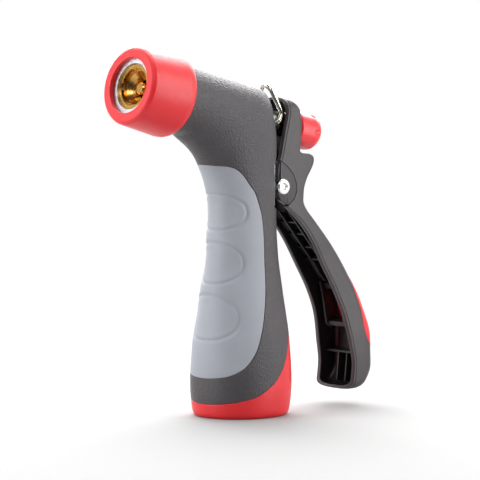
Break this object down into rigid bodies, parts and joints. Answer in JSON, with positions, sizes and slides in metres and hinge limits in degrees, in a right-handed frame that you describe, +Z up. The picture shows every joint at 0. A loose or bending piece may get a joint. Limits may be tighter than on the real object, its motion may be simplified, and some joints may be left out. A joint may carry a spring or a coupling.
{
  "type": "pistol-grip hose nozzle",
  "caption": "Pistol-grip garden hose nozzle with insulated soft grip, rear trigger lever, wire hold-open clip, adjusting knob and brass spray orifice.",
  "frame": {"origin": "centre of the hose inlet's mouth, on the plane the base stands on", "axes": "+Z up the grip, away from the hose; -Y the way the water leaves; +Y towards the trigger lever; X = 0 is the plane of symmetry"},
  "size_m": [0.0392, 0.13, 0.1535],
  "materials": {
    "cast_alloy": "die-cast, satin",
    "charcoal_rubber": "fine pebble grain, matt",
    "grey_rubber": "soft, matt",
    "red_rubber": "soft, satin",
    "seal_rubber": "matt",
    "brass": "turned",
    "steel": "drawn wire and sheet",
    "red_plastic": "satin gloss",
    "charcoal_plastic": "moulded satin",
    "rivet_metal": "zinc plated",
    "clip_wire": "nickel plated wire"
  },
  "bodies": {
    "body": {"body_casting": "cast_alloy", "grip_cover": "charcoal_rubber", "finger_pad": "grey_rubber", "base_boot": "red_rubber", "front_bumper": "red_rubber", "orifice_insert": "brass", "insert_seal": "seal_rubber", "packing_seal": "seal_rubber", "gland_washer": "brass", "packing_nut": "brass", "hose_washer": "seal_rubber", "inlet_screen": "steel"},
    "valve": {"valve_stem": "brass", "valve_washer": "seal_rubber", "stem_seal": "seal_rubber", "return_spring": "steel"},
    "knob": {"adjusting_knob": "red_plastic", "knob_insert": "brass"},
    "trigger": {"trigger_lever": "charcoal_plastic", "pivot_cheek_left": "charcoal_plastic", "pivot_cheek_right": "charcoal_plastic", "pivot_rivet": "rivet_metal", "lever_pad": "red_rubber"},
    "clip": {"hold_open_clip": "clip_wire"}
  },
  "joints": [
    {"name": "trigger_squeeze", "type": "hinge", "parent": "body", "child": "trigger", "pos_m": [0, 0.0154, 0.0951], "axis": [-1, 0, 0], "range_deg": [0, 20], "stiffness_Nm_per_rad": 0.6, "springref_deg": -17.19},
    {"name": "stem_slide", "type": "slide", "parent": "body", "child": "valve", "axis": [0, 0.9774, -0.2113], "range_m": [0, 0.0086], "deforming": ["return_spring"]},
    {"name": "knob_turn", "type": "hinge", "parent": "valve", "child": "knob", "pos_m": [0, 0.03435, 0.11777], "axis": [0, 0.9774, -0.2113], "range_deg": [-360, 360]},
    {"name": "clip_swing", "type": "hinge", "parent": "body", "child": "clip", "pos_m": [0, 0.01605, 0.12172], "axis": [-1, 0, 0], "range_deg": [0, 5]}
  ],
  "couplings": [
    {"joint": "stem_slide", "follows": "trigger_squeeze", "m_per_rad": 0.0245}
  ]
}
